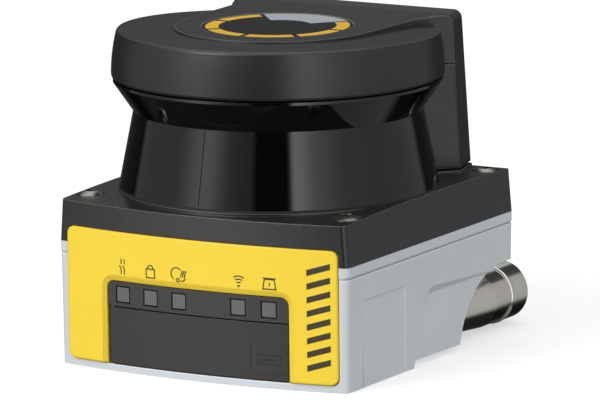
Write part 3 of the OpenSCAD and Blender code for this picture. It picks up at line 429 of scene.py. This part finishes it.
cx, cz = led_x[1] + 0.4, icon_z
lock = stroke(moved(box(-1.2, -1.45, 1.2, 0.65), cx, cz), LINE, True)
bow = [(0.72, 0.65)] + arc(0, 0.85, 0.72, 0, 180, 10) + [(-0.72, 0.65)]
lock += stroke(moved(bow, cx, cz), LINE)
printed("mark_lock", lock)

cx, cz = led_x[2] + 0.5, icon_z + 0.1
pane = arc(-0.75, 0.15, 1.5, -128, -20, 4)[:1] + arc(-0.75, 0.15, 1.5, -120, -320, 18)
dirt = stroke(moved(pane, cx, cz), LINE)
dirt += stroke(moved(circle(-0.35, -1.35, 0.42, 12), cx, cz), LINE, True)
for k in range(3):
    drop = [(0.35 + 0.55 * k, -0.55 - 0.1 * k), (0.65 + 0.5 * k, 0.25), (0.95 + 0.5 * k, 1.05)]
    dirt += stroke(moved(drop, cx, cz), LINE)
dirt += stroke(moved([(0.45, -1.5), (1.2, -1.45), (1.75, -0.9)], cx, cz), LINE)
printed("mark_dirt", dirt)

cx, cz = led_x[3] + 0.55, icon_z - 0.1
radio = [moved(circle(0, -1.1, 0.3, 10), cx, cz)]
for r in (0.9, 1.65, 2.4):
    radio += stroke(moved(arc(0, -1.1, r, 55, 125, 8), cx, cz), LINE)
printed("mark_radio", radio)

cx, cz = led_x[4] + 0.5, icon_z - 0.1
frame_line = [(-1.7, -1.3), (1.7, -1.3), (1.25, 1.05), (-1.25, 1.05)]
window = stroke(moved(frame_line, cx, cz), LINE, True)
window += stroke(moved([(-1.7, 1.3), (1.7, 1.3)], cx, cz), LINE)
window += stroke(moved([(0, -0.55), (0, 0.25)], cx, cz), LINE)
printed("mark_window", window)

# slanted bars in a column at the bezel's right edge
BAR_COUNT, BAR_MARGIN, BAR_THICK, BAR_RISE = 8, 3.0, 0.45, 0.55
bezel_low, bezel_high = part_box("front_bezel")
bar_left, bar_right = bezel_high.x / MM - 7.6, bezel_high.x / MM - 1.7
bar_low, bar_high = bezel_low.z / MM + BAR_MARGIN, bezel_high.z / MM - BAR_MARGIN
pitch = (bar_high - bar_low) / BAR_COUNT
bars = []
for k in range(BAR_COUNT):
    z = bar_low + k * pitch
    bars.append([(bar_left, z), (bar_right, z + pitch * BAR_RISE), (bar_right, z + pitch),
                 (bar_left, z + pitch * BAR_THICK)])
printed("mark_bars", bars)

# thin dark rims round the indicator lenses
RIM_GAP, RIM_WIDTH = 0.36, 0.14
half = (led_boxes[0][1].x - led_boxes[0][0].x) / 2 / MM + RIM_GAP
rims = []
for (lo, hi), cx in zip(led_boxes, led_x):
    cz = (lo.z + hi.z) / 2 / MM
    rims += stroke(box(cx - half, cz - half, cx + half, cz + half), RIM_WIDTH, True)
printed("light_rims", rims, proud_mm=0.01, material="shade_dark", at=front_of("indicator_strip"))


# ---------------------------------------------------------------- cover of the flap's grip
PLATE_COLUMNS, EDGE_COLUMNS = 12, 8
PLATE_PROUD, PLATE_SUNK = 0.03, 0.40
flap_low, flap_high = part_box("port_flap")
on_flap = front_of("port_flap")
grip_left, grip_right = flap_high.x / MM - 9.75, flap_high.x / MM - 0.25
grip_low, grip_high = flap_low.z / MM + 1.4, flap_low.z / MM + 8.5


def flap_skin(x, z):
    """The flap's outer face just above the grip, carried down over it."""
    return on_flap(x, (grip_high + 1.0) * MM)


def grip_face(x, z):
    return flap_skin(x, z) - PLATE_PROUD * MM


def columns(count):
    """The x of each edge of so many equal columns across the grip."""
    return [grip_left + k * ((grip_right - grip_left) / count) for k in range(count + 1)]


bm = bmesh.new()
fronts, backs = [], []
for x in columns(PLATE_COLUMNS):
    y = flap_skin(x * MM, 0)
    for depth, rows in ((-PLATE_PROUD, fronts), (PLATE_SUNK, backs)):
        rows.append([bm.verts.new((x * MM, y + depth * MM, z * MM)) for z in (grip_low, grip_high)])
for k in range(PLATE_COLUMNS):
    for rows in (fronts, backs):
        bm.faces.new((rows[k][0], rows[k + 1][0], rows[k + 1][1], rows[k][1]))
    for end in (0, 1):
        bm.faces.new((fronts[k][end], fronts[k + 1][end], backs[k + 1][end], backs[k][end]))
for k in (0, PLATE_COLUMNS):
    bm.faces.new((fronts[k][0], fronts[k][1], backs[k][1], backs[k][0]))
add_piece("grip_plate", bm, "flap_dark", "flap")

cx, cz = (grip_left + grip_right) / 2, (grip_low + grip_high) / 2
port = stroke(moved(box(-3.0, -1.1, 3.0, 1.1), cx, cz), 0.3, True)
port += stroke(moved([(-1.8, 0), (-0.6, 0), (0.6, 0), (1.8, 0)], cx, cz), 0.5)
printed("mark_port", port, 0.04, 0.05, "mark_flap", grip_face, "flap")

# painted shadow: thin dark strokes along the grip's left edge and under its upper edge
edge = stroke([(grip_left - 0.05, grip_low), (grip_left - 0.05, grip_high + 0.05)], 0.22)
over = columns(EDGE_COLUMNS)
for a, b in zip(over, over[1:]):
    edge += stroke([(a, grip_high + 0.06), (b, grip_high + 0.06)], 0.24)
printed("grip_edge_shadow", edge, 0.015, 0.05, "shade_dark", flap_skin, "flap")


# ---------------------------------------------------------------- painted highlight and painted shade lines round the side pads
PROBE, PROBE_Z = 0.05, 12   # step of the search for the pad's edges, and the height it runs at
PAD_CORNER = 1.0            # size of the pad's upper front corner, where the lines stop short
side_tree = BVHTree.FromObject(nodes["base_housing"], bpy.context.evaluated_depsgraph_get())
side_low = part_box("base_housing")[0]


def side_x(y, z):
    """How far out the housing's right side reaches at y, z, in millimetres."""
    hit = side_tree.ray_cast(Vector((1, y * MM, z * MM)), Vector((-1, 0, 0)))[0]
    return hit.x / MM


def jumps(values):
    """The y between which the side's reach changes suddenly."""
    return [(a + b) / 2 for a, b in zip(values, values[1:])
            if 0.04 < abs(side_x(a, PROBE_Z) - side_x(b, PROBE_Z)) < 1.5]


def bar(bm, low, high, sign):
    """A thin closed bar between two corners in millimetres, mirrored where the sign is -1."""
    for v in bmesh.ops.create_cube(bm, size=1)["verts"]:
        v.co = Vector([MM * (l + (h - l) * (c + 0.5)) for c, l, h in zip(v.co, low, high)])
        v.co.x *= sign


pad_front, pad_rear = jumps([side_low.y / MM + 9 + PROBE * i for i in range(700)])[:2]
outer, inner = side_x(pad_front - 1, PROBE_Z), side_x(pad_front + 1, PROBE_Z)
pad_middle = (pad_front + pad_rear) / 2
pad_top = next(z for z in (14 + PROBE * i for i in range(240))
               if abs(side_x(pad_middle, z) - inner) > 0.01)
pad_low = side_low.z / MM + 0.02
behind_face = inner - 0.10
# a painted highlight along each pad's rear edge, and painted shade along its front edge and under
# its top
SIDE_LINES = {
    "line_lit": [
        ((behind_face, pad_rear - 0.24, pad_low), (outer + 0.01, pad_rear + 0.02, pad_top)),
    ],
    "line_shade": [
        ((behind_face, pad_front, pad_low), (inner + 0.02, pad_front + 0.14, pad_top - PAD_CORNER)),
        ((behind_face, pad_front + PAD_CORNER, pad_top - 0.12),
         (inner + 0.02, pad_rear - 0.24, pad_top)),
    ],
}
for side_name, sign in (("right", 1), ("left", -1)):
    for kind, bars in SIDE_LINES.items():
        bm = bmesh.new()
        for low, high in bars:
            bar(bm, low, high, sign)
        add_piece(f"{kind}_{side_name}", bm, kind)


# ---------------------------------------------------------------- window seam and round beads
SEAM_OFF, SEAM_WIDTH = 0.21, 0.24   # how far right of the window's middle it runs, and its width
SEAM_START, SEAM_STEPS = 0.4, 18    # where it starts above the window's foot; one step is 1 mm
window_low, window_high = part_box("scan_window")
seam_left = (window_low.x + window_high.x) / 2 / MM + SEAM_OFF - SEAM_WIDTH / 2
seam_foot = window_low.z / MM + SEAM_START
seam = [box(seam_left, z, seam_left + SEAM_WIDTH, z + 1)
        for z in (seam_foot + step for step in range(SEAM_STEPS))]
printed("window_seam", seam, 0.015, 0.05, "seam_black", front_of("scan_window"))

sleeve_low, sleeve_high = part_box("connector_sleeve")
COLLAR = 8.0                        # length of the sleeve's collar; the bead lies at its foot
middle = (sleeve_low + sleeve_high) / 2 / MM
bead("sleeve_bead", (middle.x, sleeve_high.y / MM - COLLAR, middle.z), (0, 1, 0), 6.9, 0.55,
     "nickel")

lens_low, lens_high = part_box("display_lens")
middle = (lens_low + lens_high) / 2 / MM
lens_r = (lens_high.x - lens_low.x) / 2 / MM
bead("lens_rim", (middle.x, middle.y, lens_high.z / MM - 0.05), (0, 0, 1), lens_r + 0.06, 0.10,
     "rim_grey")


# ---------------------------------------------------------------- studio
FLOOR = 0.50            # how pale the floor is
FLOOR_SEEN = 1.04       # what the camera sees of it, with its own glow, in full light
FLOOR_HALF = 6.0
FLOOR_DROP = 0.02 * MM  # keeps it off the object's bottom face


def make_floor():
    """Pale to the camera, with the object's shadow. To other rays, and from below, it is clear:
    reflections look past it at the studio's low walls."""
    s = FLOOR_HALF
    mesh = bpy.data.meshes.new("floor")
    mesh.from_pydata([(-s, -s, 0), (s, -s, 0), (s, s, 0), (-s, s, 0)], [], [(0, 1, 2, 3)])
    mat = bpy.data.materials.new("floor")
    t = Tree(mat)
    out = t.add("ShaderNodeOutputMaterial")
    tone = t.ramp(t.noise(3.0, 2.0, 0.5, t.place()), 0.3, 0.7)
    color = t.mix(tone, (FLOOR - 0.01,) * 3 + (1,), (FLOOR + 0.01,) * 3 + (1,))
    pale = t.add("ShaderNodeAddShader")
    t.put(pale.inputs[0], t.shade("ShaderNodeBsdfDiffuse", Color=color))
    t.put(pale.inputs[1], t.shade("ShaderNodeEmission", Strength=FLOOR_SEEN - FLOOR))
    below = t.add("ShaderNodeNewGeometry").outputs["Backfacing"]
    seen = t.add("ShaderNodeLightPath").outputs["Is Camera Ray"]
    clear = t.shade("ShaderNodeBsdfTransparent")
    shown = t.pick(t.product(seen, t.math("SUBTRACT", 1.0, below)), clear, pale.outputs[0])
    t.links.new(shown, out.inputs[0])
    mesh.materials.append(mat)
    obj = bpy.data.objects.new("floor", mesh)
    obj.location.z = cad_low.z - FLOOR_DROP
    bpy.context.scene.collection.objects.link(obj)
    obj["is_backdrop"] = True


STUDIO_TURN = 30        # the studio faces this many degrees to the right of the object's front
# The lights on the studio's walls, by degrees to the right of where the studio faces: where the
# light begins, is full, begins to fade and ends, and then how bright it is.
WALL_LIGHTS = {
    "left softbox": (-129, -122, -22, -16, 0.33),
    "its bright middle": (-125, -75, -45, -22, 0.25),
    "strip in front of it": (-84, -57, -56, -36, 1.04),
    "right softbox": (5, 9, 123, 133, 0.36),
    "its bright side": (7, 12, 20, 145, 0.36),
    "strip in front": (7, 12, 13, 28, 1.00),
    "halo of that strip": (7, 12, 14, 55, 0.85),
}
WALL = 0.03             # the walls between the lights
SKY = 1.2
REST = 0.005            # what is left where nothing shines
WHITE = (1, 1, 1, 1)


def make_world():
    """White to the camera. To everything else, a studio with two softboxes and a soft sky."""
    world = bpy.data.worlds.new("studio")
    bpy.context.scene.world = world
    t = Tree(world)
    out = t.add("ShaderNodeOutputWorld")
    to = t.add("ShaderNodeTexCoord").outputs["Generated"]
    ray = t.add("ShaderNodeLightPath").outputs
    facing = math.radians(STUDIO_TURN)
    ahead = t.dot(to, (math.sin(facing), -math.cos(facing), 0))
    side = t.dot(to, (math.cos(facing), math.sin(facing), 0))
    z = t.height(to)
    angle = t.product(t.math("ARCTAN2", side, ahead), 180 / math.pi)
    away = t.math("ABSOLUTE", angle)

    walls = WALL
    for begin, full, fade, end, level in WALL_LIGHTS.values():
        panel = t.product(t.smooth(angle, begin, full), t.smooth(angle, fade, end, level, 0.0))
        walls = t.math("ADD", panel, walls)
    lights = [
        # the walls' lights, from the table's edge up to the sky
        t.product(walls, t.smooth(z, -0.50, -0.30), t.smooth(z, 0.55, 0.75, 1.0, 0.0)),
        t.smooth(z, 0.55, 0.80, 0.0, SKY),
        # a wall behind the object, dim low down and pale above the horizon
        t.product(t.smooth(away, 157, 166), t.smooth(z, 0.26, 0.44, 0.02, 0.50)),
        # a dim panel on the right, a little behind
        t.product(t.smooth(angle, 124, 131), t.smooth(angle, 151, 158, 1.0, 0.0),
                  t.smooth(z, 0.06, 0.16), t.smooth(z, 0.40, 0.44, 0.30, 0.0)),
        # the table in front, brighter on the right
        t.product(t.smooth(side, -0.30, 0.50, 0.07, 0.34), t.smooth(z, -0.50, -0.65),
                  t.smooth(angle, 122, 133, 1.0, 0.05)),
        # what the floor throws up on matt faces, most on the left
        t.product(ray["Is Diffuse Ray"], t.smooth(z, 0.0, -0.3),
                  t.smooth(side, -0.3, 0.5, 0.22, 0.0)),
    ]
    light = REST
    for part in lights:
        light = t.math("ADD", part, light)
    studio = t.shade("ShaderNodeBackground", Color=WHITE, Strength=light)
    white = t.shade("ShaderNodeBackground", Color=WHITE, Strength=1.0)
    seen = t.math("MAXIMUM", ray["Is Camera Ray"], ray["Is Transmission Ray"])
    t.links.new(t.pick(seen, studio, white), out.inputs[0])


def make_lamp():
    data = bpy.data.lights.new("key", "AREA")
    data.size = 0.5
    data.energy = 5.0
    obj = bpy.data.objects.new("key", data)
    bpy.context.scene.collection.objects.link(obj)
    obj.location = (-0.35, -0.75, 0.75)
    toward = Vector((0, 0, 0.03)) - obj.location
    obj.rotation_euler = toward.to_track_quat("-Z", "Y").to_euler()


make_floor()
make_world()
make_lamp()

bpy.context.scene.view_settings.view_transform = "Standard"

low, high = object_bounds()
